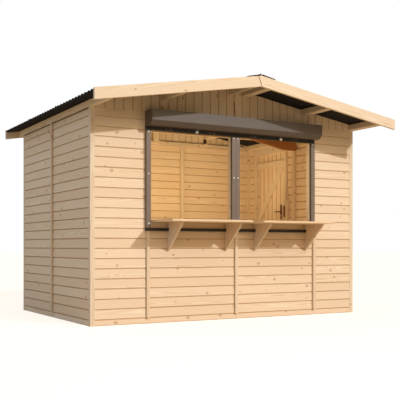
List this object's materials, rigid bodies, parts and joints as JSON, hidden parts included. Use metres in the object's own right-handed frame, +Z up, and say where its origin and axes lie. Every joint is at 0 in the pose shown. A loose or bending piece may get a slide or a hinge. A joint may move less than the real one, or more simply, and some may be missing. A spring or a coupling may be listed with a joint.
{
  "type": "wooden market stall",
  "caption": "Timber market stall with a shallow pitched corrugated roof, serving windows under a roller shutter box, bracketed shelves and a side door.",
  "frame": {"origin": "centre of the footprint at ground level, on the underside of the middle floor bearer", "axes": "+X along the serving front to the right, +Y from the serving front to the back, +Z up"},
  "size_m": [3.3054, 2.704, 2.3076],
  "materials": {
    "timber": "planed, untreated softwood",
    "rafter_timber": "sawn softwood, the truss rafters stained red-brown",
    "roofing_sheet": "matt bitumen sheet",
    "shutter_box_metal": "satin powder coat",
    "rail_metal": "satin powder coat",
    "dark_metal": "satin powder coat",
    "ironmongery": "satin brown lacquer"
  },
  "bodies": {
    "stall": {"floor_bearers": "timber", "floor_deck": "timber", "corner_posts": "timber", "front_panel_left": "timber", "front_panel_right": "timber", "front_sill_left": "timber", "front_sill_right": "timber", "window_posts": "timber", "sill_rails": "timber", "front_header": "timber", "front_gable": "timber", "left_wall_front": "timber", "left_wall_rear": "timber", "right_wall_front": "timber", "right_wall_beside_door": "timber", "right_wall_over_door": "timber", "right_wall_rear": "timber", "door_sill": "timber", "door_posts": "timber", "door_header": "timber", "lock_keep": "ironmongery", "back_panel_left": "timber", "back_panel_middle": "timber", "back_panel_right": "timber", "back_gable": "timber", "wall_posts": "timber", "top_rails": "timber", "gable_batten": "timber", "cover_strips": "timber", "purlins_left": "rafter_timber", "purlins_right": "rafter_timber", "truss_rafter_left": "rafter_timber", "truss_rafter_right": "rafter_timber", "truss_tie": "rafter_timber", "roof_sheet_left": "roofing_sheet", "roof_sheet_right": "roofing_sheet", "ridge_cap": "roofing_sheet", "bargeboard_front_left": "timber", "bargeboard_front_right": "timber", "bargeboard_back_left": "timber", "bargeboard_back_right": "timber", "shutter_box": "shutter_box_metal", "shutter_lintel": "dark_metal", "guide_rail_left": "rail_metal", "guide_rail_centre": "rail_metal", "guide_rail_right": "rail_metal", "shutter_foot_bar": "dark_metal", "shelf_left": "timber", "shelf_right": "timber", "shelf_brackets_left": "timber", "shelf_brackets_right": "timber", "hinge_plates": "ironmongery"},
    "door": {"door_leaf": "timber", "door_ledges": "timber", "door_handle": "ironmongery", "hinge_straps": "ironmongery"}
  },
  "joints": [
    {"name": "door_hinge", "type": "hinge", "parent": "stall", "child": "door", "pos_m": [1.507, 0.7875, 0], "axis": [0, 0, 1], "range_deg": [0, 110]}
  ]
}
